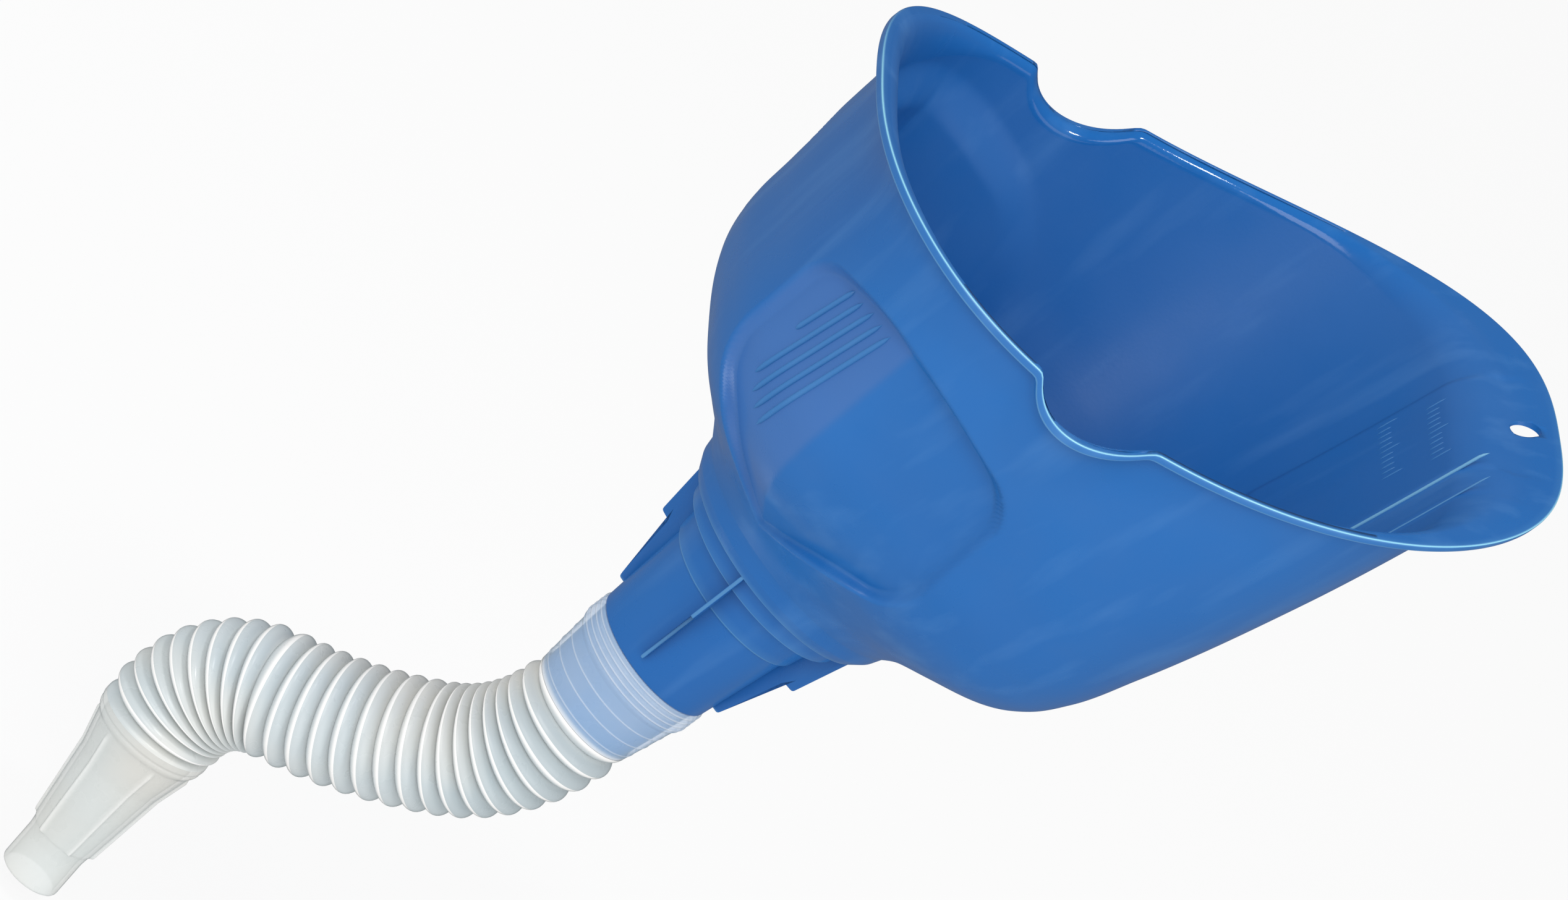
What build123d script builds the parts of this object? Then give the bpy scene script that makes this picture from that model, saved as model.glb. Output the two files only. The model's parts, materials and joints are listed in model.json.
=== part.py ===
from build123d import *
import os
from math import atan, cos, hypot, radians, sin

# Fuel funnel: a deep bowl moulded in one piece with a stepped neck and a stub, and a corrugated
# spout that is pushed over the stub and ends in a tapered nozzle.  Millimetres.  +Z runs up the
# neck axis to the mouth, +X points to the tall end of the rim, and the origin is on the neck axis
# at the joint between neck and spout.

# ---- Driving dimensions: bowl -------------------------------------------------------------------
WALL = 2.0              # moulded wall of the bowl and neck
BOWL_FOOT = 54.0        # height where the round neck opens into the bowl
FOOT_RADIUS = 38.5
CORNER_SHARE = 0.70     # corner radius of a bowl section as a share of its half length
# (height, half length, half width, centre) of the bowl's outer sections, from the foot up
PROFILE = [(54, 38.5, 38.5, 0.0), (62, 45.3, 45.5, -1.0), (70, 54.5, 56.0, -2.3),
           (78, 64.0, 66.0, -3.0), (86, 69.8, 73.0, -3.3), (96, 73.5, 78.0, -3.2),
           (115, 76.7, 83.0, -2.2), (165, 82.3, 92.0, 0.5), (240, 88.0, 97.0, 4.0)]
FOOT_ROUNDNESS = 0.995  # the foot's corner share: all but a circle
ROUNDNESS_STEP = 0.11   # and how fast the sections grow square above it

# ---- Driving dimensions: rim --------------------------------------------------------------------
RIM_CENTRE = 6.7        # the rim's outline is centred a little towards the tall end
RIM_HALF_X = 100.0
RIM_HALF_Y = 96.0
RIM_CORNER = 76.0
RIM_MID_HEIGHT = 173.0
RIM_SLOPE = 0.339       # rise of the rim per length at its middle
RIM_CURVE = 0.00224     # and its upward sweep to the tall end
RIM_SIDE_CROWN = 4.3    # the long sides stand this much prouder than the ends
RIM_POWER = 2.66
FLANGE = 3.0            # height of the flange and of the lip round the mouth
NOTCH_X = -17.7
NOTCH_HALF = 17.0
NOTCH_DEPTH = 9.5
NOTCH_CORNER = 5.0
HANG_HOLE_RADIUS = 4.3
HANG_HOLE_X = 98.3
TRIM_HALF = 130.0       # half width of the blanks that trim the bowl to the rim
TRIM_MARGIN = 20.0      # and how far they run past the rim's ends
TRIM_RISE = 16.0        # they keep climbing by this much past the tall end
RIM_ZONE_FOOT = 130.0   # the whole rim lies between this height
RIM_ZONE_HEIGHT = 120.0     # and this much above it

# ---- Driving dimensions: grip recesses ----------------------------------------------------------
GRIP_AZIMUTH = 35.0     # from the Y axis towards the low end
GRIP_DEPTH = 2.6
GRIP_HALF_WIDTH = 41.0
GRIP_TOP = 135.5
GRIP_SIDE_FOOT = 91.0
GRIP_POINT = 62.0
GRIP_CORNER = 8.0

# ---- Driving dimensions: neck and stub ----------------------------------------------------------
# (radius, height) of the stack of stepped cones, from the joint up to the bowl's foot
NECK_OUTSIDE = [(20.7, 0), (23.0, 29), (24.2, 29.6), (25.6, 38.8), (29.8, 39.6), (30.8, 44.8),
                (34.6, 45.8), (37.2, 49.5), (FOOT_RADIUS, BOWL_FOOT)]
NECK_INSIDE = [(20.8, 29), (23.4, 39), (28.4, 45.5)]    # the same inside, over the straight throat
FIN_OUTLINE = [(18.0, 4.5), (22.7, 4.5), (26.5, 25.5), (30.3, 25.9), (33.2, 43.5), (34.4, 46.2),
               (18.0, 46.2)]
FIN_COUNT = 4
FIN_AZIMUTH = 64.0      # of the first fin from +X
FIN_THICKNESS = 2.4
STUB_LENGTH = 25.5
STUB_TOP_RADIUS = 19.3
STUB_TIP_RADIUS = 16.8
STUB_WALL = 1.8
THROAT_RADIUS = 17.3    # straight bore where neck and stub meet
THROAT_LENGTH = 6.0
FOOT_STEP_IN = 3.4      # the neck's bore opens this far inside the bowl's foot
CLEARANCE = 0.06        # radial clearance between stub and cuff
SEAT_GAP = 0.2          # gap between the stub's tip and the shoulder in the cuff
SEAT_SLOPE = 1.0        # height of that shoulder

# ---- Driving dimensions: spout ------------------------------------------------------------------
SPOUT_AZIMUTH = 153.3   # direction from +X in which the spout leans at rest
CUFF_RADIUS = 20.8
CUFF_WALL = 1.4
CUFF_BAND = 8.0         # straight upper part of the cuff, with small ridges round it
CUFF_MOUTH = 0.1        # the cuff's mouth stays this far under the neck
CUFF_SHOULDER = (20.0, 9.5)     # radius and depth where the cuff's taper starts
CUFF_RIDGES = 4
RIDGE_RADIUS = 0.45
RIDGE_PITCH = 1.8
FIRST_RIDGE = 1.3       # depth of the first ridge
CUFF_TO_FOLD = 1.2      # from the cuff's end to the first fold
FIRST_FOLD = 29.5       # depth of the first fold under the origin
CREST_RADIUS = 18.7     # outside radius of a convolution
CREST_PITCH = 7.18      # spacing of the crests on the outside of a bend
RING_BASE_RADIUS = 15.4
RING_THICKNESS = 1.0
FOLD_RADIUS = 14.9      # thin rings at the bottom of the folds
FOLD_WALL = 0.8
FOLD_LENGTH = 1.2
# (number of folds, bend of each fold at rest in degrees) from the neck down
ZONES = [(2, 3.5), (6, 5.9), (8, 2.2), (7, -8.7), (2, -4.8)]
NOZZLE_LENGTH = 62.8
NOZZLE_START = 1.6      # distance of the nozzle's edge under the last fold
NOZZLE_COLLAR = 18.0
COLLAR_HEIGHT = 5.3
COLLAR_CHAMFER = 0.8
NOZZLE_NECK_RADIUS = 16.4
NOZZLE_WAIST_AT = 20.0  # the cone is steep above its waist and slender below it
NOZZLE_WAIST_RADIUS = 13.4
NOZZLE_STEP_AT = 45.8
NOZZLE_STEP_RADIUS = 10.2
NOZZLE_TIP_RADIUS = 9.4
NOZZLE_TIP_LENGTH = 13.0
TIP_CHAMFER = (0.6, 1.0)    # radius and length taken off the tip's outer edge
NOZZLE_WALL = 1.3
NOZZLE_FINS = 6
FIN_RISE = 0.8          # the nozzle's long ribs stand this proud
FIN_ROOT = 0.6          # and start this deep in its wall
FIN_WIDTH = 1.2

os.makedirs("parts", exist_ok=True)


def save(part, label):
    part.label = label
    export_step(part, f"parts/{label}.step")


def bowl_loft(inset):
    """Closed solid of the bowl's outside, moved inwards by inset measured square to the wall."""
    with BuildPart() as loft_part:
        for i, (height, half_x, half_y, centre) in enumerate(PROFILE):
            below, above = PROFILE[max(i - 1, 0)], PROFILE[min(i + 1, len(PROFILE) - 1)]
            flare = (above[1] - below[1]) / (above[0] - below[0])
            step_in = inset * hypot(1.0, flare)
            round_share = max(CORNER_SHARE, FOOT_ROUNDNESS - ROUNDNESS_STEP * i)
            with BuildSketch(Plane.XY.offset(height)):
                with Locations((centre, 0)):
                    RectangleRounded(2 * (half_x - step_in), 2 * (half_y - step_in),
                                     round_share * (half_x - step_in))
        loft(ruled=True)
    return loft_part.part


def rim_height(x):
    """Height of the rim over the neck joint, as seen from the side."""
    across = x - RIM_CENTRE
    reach = min(abs(across) / RIM_HALF_X, 1.0)
    crown = RIM_SIDE_CROWN * (1 - reach ** RIM_POWER) ** (2 / RIM_POWER)
    return RIM_MID_HEIGHT + RIM_SLOPE * across + RIM_CURVE * across ** 2 + crown


def rim_slope(x):
    return atan((rim_height(x + 0.5) - rim_height(x - 0.5)))


def shield(grow):
    """Outline of a grip recess on the plane that faces it, grown by a margin on every side."""
    half = GRIP_HALF_WIDTH + grow
    corners = [(0, GRIP_POINT - 1.4 * grow), (half, GRIP_SIDE_FOOT - 0.4 * grow), (half, GRIP_TOP + grow),
               (-half, GRIP_TOP + grow), (-half, GRIP_SIDE_FOOT - 0.4 * grow)]
    with BuildSketch() as outline:
        with BuildLine():
            Polyline(*corners, close=True)
        make_face()
        fillet(outline.vertices(), GRIP_CORNER)
    return outline.sketch


def grip_prism(side, grow):
    """Prism through a grip recess; side is -1 for the -Y side and 1 for the +Y side."""
    angle = radians(GRIP_AZIMUTH)
    outward = Vector(-sin(angle), side * cos(angle), 0)
    facing = Plane(origin=(0, 0, 0), x_dir=Vector(0, 0, 1).cross(outward), z_dir=outward)
    with BuildPart() as prism:
        with BuildSketch(facing.offset(30.0)):
            add(shield(grow))
        extrude(amount=90.0)
    return prism.part


def recessed(inset, grow):
    """Bowl solid at an inset, stepped in at both grip recesses."""
    with BuildPart() as shape:
        add(bowl_loft(inset))
        for side in (-1, 1):
            add(grip_prism(side, grow), mode=Mode.SUBTRACT)
    with BuildPart() as prisms:
        for side in (-1, 1):
            add(grip_prism(side, grow))
    with BuildPart() as floors:
        add(bowl_loft(inset + GRIP_DEPTH))
        add(prisms.part, mode=Mode.INTERSECT)
    with BuildPart() as both:
        add(shape.part)
        add(floors.part)
    return both.part


# ---- Shape of the rim seen from the side --------------------------------------------------------
low_x, high_x = RIM_CENTRE - RIM_HALF_X, RIM_CENTRE + RIM_HALF_X
side_plane = Plane.XZ.offset(-TRIM_HALF)
with BuildSketch(side_plane) as under_rim:
    with BuildLine():
        left = [(x, rim_height(x)) for x in (low_x, -80, -60, NOTCH_X - NOTCH_HALF)]
        right = [(x, rim_height(x)) for x in (NOTCH_X + NOTCH_HALF, 25, 50, 75, 92, high_x)]
        floor = (NOTCH_X, rim_height(NOTCH_X) - NOTCH_DEPTH)
        Spline(*left)
        ThreePointArc(left[-1], floor, right[0])
        Spline(*right)
        far_x, near_x = high_x + TRIM_MARGIN, low_x - TRIM_MARGIN
        Polyline(right[-1], (far_x, right[-1][1] + TRIM_RISE), (far_x, 0), (near_x, 0),
                 (near_x, left[0][1]), left[0])
    make_face()
    notch_ends = under_rim.vertices().sort_by(lambda v: abs(v.X - NOTCH_X))[:2]
    fillet(notch_ends, NOTCH_CORNER)

with BuildSketch(side_plane) as rim_band:
    add(under_rim.sketch_local)
    with Locations((0, -FLANGE)):
        add(under_rim.sketch_local, mode=Mode.SUBTRACT)

with BuildPart() as below_rim:
    extrude(under_rim.sketch, amount=2 * TRIM_HALF)

with BuildPart() as flange_band:
    extrude(rim_band.sketch, amount=2 * TRIM_HALF)

with BuildPart() as flange:
    with BuildSketch(Plane.XY.offset(RIM_ZONE_FOOT)):
        with Locations((RIM_CENTRE, 0)):
            RectangleRounded(2 * RIM_HALF_X, 2 * RIM_HALF_Y, RIM_CORNER)
    extrude(amount=RIM_ZONE_HEIGHT)
    add(flange_band.part, mode=Mode.INTERSECT)

# ---- Neck: a stack of stepped cones with fins, and the stub under it ----------------------------
stub_bore = STUB_TIP_RADIUS - STUB_WALL
foot_bore = FOOT_RADIUS - FOOT_STEP_IN
with BuildPart() as neck:
    with BuildSketch(Plane.XZ):
        with BuildLine():
            Polyline((0, BOWL_FOOT), (0, -STUB_LENGTH), (STUB_TIP_RADIUS, -STUB_LENGTH),
                     (STUB_TOP_RADIUS, 0), *NECK_OUTSIDE, (0, BOWL_FOOT))
        make_face()
    revolve(axis=Axis.Z)
    with BuildSketch(Plane.XZ.rotated((0, 0, FIN_AZIMUTH))) as fin_face:
        with BuildLine():
            Polyline(*FIN_OUTLINE, close=True)
        make_face()
    fin = extrude(amount=FIN_THICKNESS / 2, both=True)
    with PolarLocations(0, FIN_COUNT, start_angle=360 / FIN_COUNT, angular_range=270):
        add(fin)

    with BuildSketch(Plane.XZ):
        with BuildLine():
            Polyline((0, -STUB_LENGTH), (stub_bore, -STUB_LENGTH), (THROAT_RADIUS, -THROAT_LENGTH / 2),
                     (THROAT_RADIUS, THROAT_LENGTH / 2), *NECK_INSIDE, (foot_bore, BOWL_FOOT),
                     (0, BOWL_FOOT), close=True)
        make_face()
    revolve(axis=Axis.Z, mode=Mode.SUBTRACT)

# ---- Funnel body --------------------------------------------------------------------------------
hole_normal = Vector(-sin(rim_slope(HANG_HOLE_X)), 0, cos(rim_slope(HANG_HOLE_X)))
hole_point = (HANG_HOLE_X, 0, rim_height(HANG_HOLE_X))
with BuildPart() as funnel_body:
    add(recessed(0.0, 0.0))
    add(below_rim.part, mode=Mode.INTERSECT)
    add(flange.part)
    add(recessed(WALL, WALL), mode=Mode.SUBTRACT)
    add(neck.part)
    with BuildSketch(Plane(origin=hole_point, z_dir=hole_normal)):
        Circle(HANG_HOLE_RADIUS)
    extrude(amount=2 * FLANGE, both=True, mode=Mode.SUBTRACT)
save(funnel_body.part, "funnel_body")

# ---- Spout: the path of its folds at rest -------------------------------------------------------
lean_dir = Vector(cos(radians(SPOUT_AZIMUTH)), sin(radians(SPOUT_AZIMUTH)), 0)
turn_axis = Vector(0, 0, -1).cross(lean_dir)


def spout_plane(point, angle):
    """Plane square to the spout at a point: z_dir runs down the spout, leaning by angle degrees."""
    along = Vector(0, 0, -1) * cos(radians(angle)) + lean_dir * sin(radians(angle))
    return Plane(origin=point, x_dir=turn_axis, z_dir=along)


bends = [bend for count, bend in ZONES for _ in range(count)]
fold_planes, ring_planes = [], []
point, lean = Vector(0, 0, -FIRST_FOLD), 0.0
for bend in bends:
    fold_planes.append(spout_plane(point, lean + bend / 2))
    lean += bend
    length = CREST_PITCH - CREST_RADIUS * radians(abs(bend))
    along = spout_plane(point, lean).z_dir
    ring_planes.append(spout_plane(point + along * (length / 2), lean))
    point += along * length
nozzle_plane = spout_plane(fold_planes[-1].origin, lean)
ring_planes = ring_planes[:-1]

# ---- Spout cuff: slides over the stub and can turn on it ----------------------------------------
cuff_inner = STUB_TOP_RADIUS + CLEARANCE
cuff_end = FIRST_FOLD - CUFF_TO_FOLD
seat_radius = STUB_TIP_RADIUS + CLEARANCE
shoulder_radius, shoulder_depth = CUFF_SHOULDER
with BuildPart() as spout_cuff:
    with BuildSketch(Plane.XZ):
        with BuildLine():
            Polyline((cuff_inner, -CUFF_MOUTH), (CUFF_RADIUS, -CUFF_MOUTH), (CUFF_RADIUS, -CUFF_BAND),
                     (shoulder_radius, -shoulder_depth), (STUB_TIP_RADIUS + CUFF_WALL, -STUB_LENGTH),
                     (RING_BASE_RADIUS + CUFF_WALL, -cuff_end), (RING_BASE_RADIUS, -cuff_end),
                     (RING_BASE_RADIUS, -STUB_LENGTH - SEAT_GAP - SEAT_SLOPE),
                     (seat_radius, -STUB_LENGTH - SEAT_GAP), close=True)
        make_face()
    revolve(axis=Axis.Z)
    with BuildSketch(Plane.XZ):
        for i in range(CUFF_RIDGES):
            with Locations((CUFF_RADIUS, -FIRST_RIDGE - RIDGE_PITCH * i)):
                Circle(RIDGE_RADIUS)
    revolve(axis=Axis.Z)
save(spout_cuff.part, "spout_cuff")

# ---- Convolutions and the thin rings between them -----------------------------------------------
half = RING_THICKNESS / 2
round_start = CREST_RADIUS - half
for number, plane in enumerate(ring_planes, start=1):
    with BuildPart() as convolution:
        with BuildSketch(Plane(plane.origin, x_dir=plane.x_dir, z_dir=plane.y_dir)):
            with BuildLine():
                Polyline((round_start, half), (RING_BASE_RADIUS, half), (RING_BASE_RADIUS, -half),
                         (round_start, -half))
                ThreePointArc((round_start, -half), (CREST_RADIUS, 0), (round_start, half))
            make_face()
        revolve(axis=Axis(plane.origin, plane.z_dir))
    save(convolution.part, f"convolution_{number:02d}")

for number, plane in enumerate(fold_planes):
    with BuildPart() as fold_ring:
        with BuildSketch(plane.offset(-FOLD_LENGTH / 2)):
            Circle(FOLD_RADIUS)
            Circle(FOLD_RADIUS - FOLD_WALL, mode=Mode.SUBTRACT)
        extrude(amount=FOLD_LENGTH)
    save(fold_ring.part, f"fold_{number:02d}")

# ---- Nozzle -------------------------------------------------------------------------------------
collar_end = NOZZLE_START + COLLAR_HEIGHT
with BuildPart() as nozzle:
    profile_plane = Plane(nozzle_plane.origin, x_dir=nozzle_plane.x_dir, z_dir=-nozzle_plane.y_dir)
    with BuildSketch(profile_plane):
        with BuildLine():
            Polyline((RING_BASE_RADIUS + CUFF_WALL, NOZZLE_START),
                     (NOZZLE_COLLAR, NOZZLE_START + COLLAR_CHAMFER),
                     (NOZZLE_COLLAR, collar_end - COLLAR_CHAMFER), (NOZZLE_NECK_RADIUS, collar_end),
                     (NOZZLE_WAIST_RADIUS, NOZZLE_WAIST_AT), (NOZZLE_STEP_RADIUS, NOZZLE_STEP_AT),
                     (NOZZLE_TIP_RADIUS, NOZZLE_LENGTH - NOZZLE_TIP_LENGTH),
                     (NOZZLE_TIP_RADIUS, NOZZLE_LENGTH - TIP_CHAMFER[1]),
                     (NOZZLE_TIP_RADIUS - TIP_CHAMFER[0], NOZZLE_LENGTH),
                     (NOZZLE_TIP_RADIUS - NOZZLE_WALL, NOZZLE_LENGTH),
                     (NOZZLE_TIP_RADIUS - NOZZLE_WALL, NOZZLE_LENGTH - NOZZLE_TIP_LENGTH),
                     (NOZZLE_STEP_RADIUS - NOZZLE_WALL, NOZZLE_STEP_AT),
                     (NOZZLE_WAIST_RADIUS - NOZZLE_WALL, NOZZLE_WAIST_AT),
                     (NOZZLE_NECK_RADIUS - NOZZLE_WALL, collar_end),
                     (RING_BASE_RADIUS, NOZZLE_START), close=True)
        make_face()
    revolve(axis=Axis(nozzle_plane.origin, nozzle_plane.z_dir))
    with BuildSketch(profile_plane):
        with BuildLine():
            Polyline((NOZZLE_NECK_RADIUS - FIN_ROOT, collar_end),
                     (NOZZLE_NECK_RADIUS + FIN_ROOT, collar_end + FIN_ROOT),
                     (NOZZLE_WAIST_RADIUS + FIN_RISE, NOZZLE_WAIST_AT),
                     (NOZZLE_STEP_RADIUS + FIN_RISE, NOZZLE_STEP_AT),
                     (NOZZLE_STEP_RADIUS - FIN_ROOT, NOZZLE_STEP_AT),
                     (NOZZLE_WAIST_RADIUS - FIN_ROOT, NOZZLE_WAIST_AT), close=True)
        make_face()
    nozzle_fin = extrude(amount=FIN_WIDTH / 2, both=True)
    for step in range(1, NOZZLE_FINS):
        add(nozzle_fin.rotate(Axis(nozzle_plane.origin, nozzle_plane.z_dir), step * 360 / NOZZLE_FINS))
save(nozzle.part, "nozzle")
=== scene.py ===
import json
from math import atan2, cos, pi, radians, sin

import bpy
import numpy as np
from mathutils import Matrix, Vector

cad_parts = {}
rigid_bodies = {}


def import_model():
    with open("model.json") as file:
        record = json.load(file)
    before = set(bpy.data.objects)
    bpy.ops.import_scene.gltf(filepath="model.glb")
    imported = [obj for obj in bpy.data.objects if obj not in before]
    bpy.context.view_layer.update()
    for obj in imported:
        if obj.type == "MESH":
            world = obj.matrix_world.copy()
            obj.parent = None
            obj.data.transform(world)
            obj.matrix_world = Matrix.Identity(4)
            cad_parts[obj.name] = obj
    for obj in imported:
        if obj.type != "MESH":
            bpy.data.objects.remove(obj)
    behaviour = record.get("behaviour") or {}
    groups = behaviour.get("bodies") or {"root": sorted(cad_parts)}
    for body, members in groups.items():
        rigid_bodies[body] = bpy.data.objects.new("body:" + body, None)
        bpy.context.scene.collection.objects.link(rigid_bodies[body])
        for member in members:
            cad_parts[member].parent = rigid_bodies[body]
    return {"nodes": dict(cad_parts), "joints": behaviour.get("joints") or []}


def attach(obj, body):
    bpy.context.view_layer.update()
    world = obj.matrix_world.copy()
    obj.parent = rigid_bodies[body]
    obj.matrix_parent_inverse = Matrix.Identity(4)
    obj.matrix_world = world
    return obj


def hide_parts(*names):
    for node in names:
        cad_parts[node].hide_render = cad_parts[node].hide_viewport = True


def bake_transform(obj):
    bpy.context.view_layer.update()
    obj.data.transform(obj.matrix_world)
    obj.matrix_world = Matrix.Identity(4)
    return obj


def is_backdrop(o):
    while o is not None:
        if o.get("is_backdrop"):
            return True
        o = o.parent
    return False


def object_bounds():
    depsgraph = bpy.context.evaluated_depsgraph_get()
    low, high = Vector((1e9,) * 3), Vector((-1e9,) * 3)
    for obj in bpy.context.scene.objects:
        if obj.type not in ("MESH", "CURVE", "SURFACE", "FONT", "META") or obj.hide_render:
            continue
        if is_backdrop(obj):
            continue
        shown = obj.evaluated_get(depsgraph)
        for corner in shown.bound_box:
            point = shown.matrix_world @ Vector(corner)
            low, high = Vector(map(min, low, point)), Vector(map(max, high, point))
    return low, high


# The looks of a fuel funnel: a blue polyethylene bowl with a slanted rim, pour notches, grip
# recesses and a stepped neck, and a milky corrugated spout.  The moving bodies come from the
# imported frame; every surface here is a grid worked out from the dimensions below (millimetres,
# +Z up the neck, +X to the tall end of the rim, origin at the joint of neck and spout).

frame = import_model()
cad_low, cad_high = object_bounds()
MM = 0.001

# ---- Bowl ---------------------------------------------------------------------------------------
SEGMENTS = 600
WALL = 2.0
FOOT = 54.0
# height, half length, half width and centre of the bowl's outer sections
PROFILE = np.array([(54, 38.5, 38.5, 0.0), (62, 45.3, 45.5, -1.0), (70, 54.5, 56.0, -2.3),
                    (78, 64.0, 66.0, -3.0), (86, 69.8, 73.0, -3.3), (96, 73.5, 78.0, -3.2),
                    (115, 76.7, 83.0, -2.2), (165, 82.3, 92.0, 0.5), (240, 88.0, 97.0, 4.0)])
SQUARENESS = 3.0        # superellipse power of a bowl section, 2 would be round

# ---- Rim ----------------------------------------------------------------------------------------
RIM_CENTRE, RIM_HALF_X, RIM_HALF_Y, RIM_POWER = 6.7, 100.0, 96.0, 2.66
RIM_HEIGHT, RIM_SLOPE, RIM_CURVE, RIM_CROWN = 173.0, 0.339, 0.00224, 4.3
FLANGE = 2.2            # plate of the rim flange
LIP = 2.6               # height of the flange's edge
LIP_ROUND = 0.7
LIP_FOOT = 2.6          # the lip hangs under the flange from this far inside its outline
FLANGE_INSIDE = 2.4     # the flat of the flange starts this far inside its outline
SIDE_ROUND = 3.4        # the inner wall turns into the flange tightly along the sides
OUTER_ROUND = 2.0       # and the outer wall tighter still, under the flange
# at both ends the walls turn in a sweep instead: its share of the flange's width, and its drop
LOW_SWEEP, TALL_SWEEP = (0.92, 19.0), (0.45, 9.0)
SWEEP_FROM, SWEEP_FULL = 0.45, 0.92     # cosine of the direction where the sweep starts and is full
NOTCH_X, NOTCH_HALF, NOTCH_DEPTH, NOTCH_SOFTNESS = -17.7, 17.0, 9.5, 0.9
HANG_HOLE_X, HANG_HOLE_RADIUS = 98.3, 4.3

# ---- Grip recesses ------------------------------------------------------------------------------
GRIP_AZIMUTH, GRIP_DEPTH = 35.0, 2.8
GRIP_TOP, GRIP_POINT = 140.5, 63.5
# half width, corner radius, fall of the top and height of the foot at the low and the tall side
GRIP_HALVES, GRIP_CORNERS, GRIP_FALLS, GRIP_FEET = (41.0, 45.0), (8.0, 10.0), (12.0, 8.0), (91.0, 86.0)
GRIP_FACET = 3.2        # how far the two facets of a recess are flattened below the curved wall
GRIP_EDGE_IN = -1.9     # the recess is full this far inside its outline
GRIP_EDGE_OUT, GRIP_BULGE_OUT = 0.4, 12.0   # it ends so far outside it, and so does its bulge inside
RIB_RADIUS, RIB_SHINE = 0.85, 0.08
RIB_FIRST, RIB_SPACING, RIB_LEAN = 9.0, 4.3, 0.133      # at their tops; they lean to the middle
RIB_FEET = [87.1, 88.7, 90.8, 94.4, 111.1]
RIB_TOPS = [135.7, 135.0, 134.3, 132.6, 131.8]

# ---- Raised panel with a scale inside the tall end ----------------------------------------------
PANEL_STEPS = [(25.0, 1.0), (39.5, 0.7)]    # half width and height of its two steps
PANEL_BEVEL = 1.6
PANEL_FADE = (30.0, 0.0)    # the wider step fades away towards the +Y side between these
PANEL_FOOT, PANEL_TOP = 142.0, 221.0
PANEL_EDGE_FOOT, PANEL_EDGE_TOP = 165.0, 219.0
EDGE_LINES = [(0.45, 0.5), (0.25, 0.25)]    # radius and painted highlight of a raised line along each step
SCALE_ROWS = [(187.0, -8.0), (202.0, -12.5)]    # height and start of two rows of short marks
TICKS, TICK_PITCH, TICK_LENGTH, TICK_RADIUS, TICK_SHINE = 11, 2.9, 4.5, 0.25, 0.12

# ---- Neck and stub ------------------------------------------------------------------------------
NECK_OUTSIDE = [(19.3, 0), (20.7, 0), (23.0, 29), (24.2, 29.6), (25.6, 38.8), (29.8, 39.6),
                (30.8, 44.8), (34.6, 45.8), (37.2, 49.5), (38.5, 54)]
NECK_INSIDE = [(35.1, 54), (28.4, 45.5), (23.4, 39), (20.8, 29), (17.3, 3), (17.3, -3), (15.0, -25.5)]
NECK_RINGS = [29.6, 39.6, 45.8]     # heights of the steps' edges that get a painted highlight
RING_SHINE, RING_SPREAD = 0.25, 0.3
STUB_TIP_RADIUS, STUB_LENGTH = 16.8, 25.5
FIN_AZIMUTH, FIN_COUNT, FIN_THICKNESS, FIN_SHINE = 64.0, 4, 1.1, 0.2
FIN_OUTLINE = [(20.0, 4.5), (23.1, 4.5), (27.0, 25.5), (30.6, 25.9), (33.6, 43.5), (34.4, 46.2),
               (20.0, 46.2)]

# ---- Spout --------------------------------------------------------------------------------------
SPOUT_SEGMENTS = 144
CUFF_RADIUS, CUFF_BAND, CUFF_END = 20.8, 8.0, 26.0
RIDGES, RIDGE_FIRST, RIDGE_PITCH, RIDGE_HEIGHT = 4, 1.3, 1.8, 0.45
CUFF_FOOT_RADIUS = 17.9
CUFF_RINGS = [13.3, 18.3, 23.3]     # fine lines round the cuff, under its ridges
VALLEY_RADIUS, CREST_RADIUS = 15.2, 18.7
HALF_ROWS = 9
NOZZLE_LENGTH, NOZZLE_COLLAR, NOZZLE_WALL = 62.8, 18.0, 1.3
COLLAR_AT = 2.4                 # the collar starts this far under the last fold
NOZZLE_SEGMENTS = 288
NOZZLE_NECK = (16.5, 7.6)       # radius, and distance under the last fold
NOZZLE_WAIST = (13.4, 20.0)
NOZZLE_STEP = (10.2, 45.8)
NOZZLE_TIP_RADIUS, NOZZLE_TIP_AT = 9.4, 49.8
NOZZLE_RIBS, NOZZLE_RIB_HEIGHT, NOZZLE_RIB_SPREAD, NOZZLE_RIB_TURN = 6, 0.9, 0.75, 21.0


# ---- Helpers ------------------------------------------------------------------------------------
def grid_piece(name, rows, close_rows=False, **attributes):
    """Mesh of a grid of points (rows, segments, 3) in mm, closed round the segments."""
    count, around = rows.shape[:2]
    index = np.arange(count * around).reshape(count, around)
    upper = index if close_rows else index[:-1]
    lower = np.roll(index, -1, axis=0) if close_rows else index[1:]
    quads = np.stack([upper, np.roll(upper, -1, axis=1), np.roll(lower, -1, axis=1), lower], axis=-1)
    mesh = bpy.data.meshes.new(name)
    mesh.from_pydata((rows.reshape(-1, 3) * MM).tolist(), [], quads.reshape(-1, 4).tolist())
    mesh.update()
    for key, values in attributes.items():
        layer = mesh.attributes.new(key, "FLOAT", "POINT")
        layer.data.foreach_set("value", np.broadcast_to(values, (count, around)).astype(np.float32).ravel())
    mesh.polygons.foreach_set("use_smooth", [True] * len(mesh.polygons))
    obj = bpy.data.objects.new(name, mesh)
    bpy.context.scene.collection.objects.link(obj)
    return obj


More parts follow.
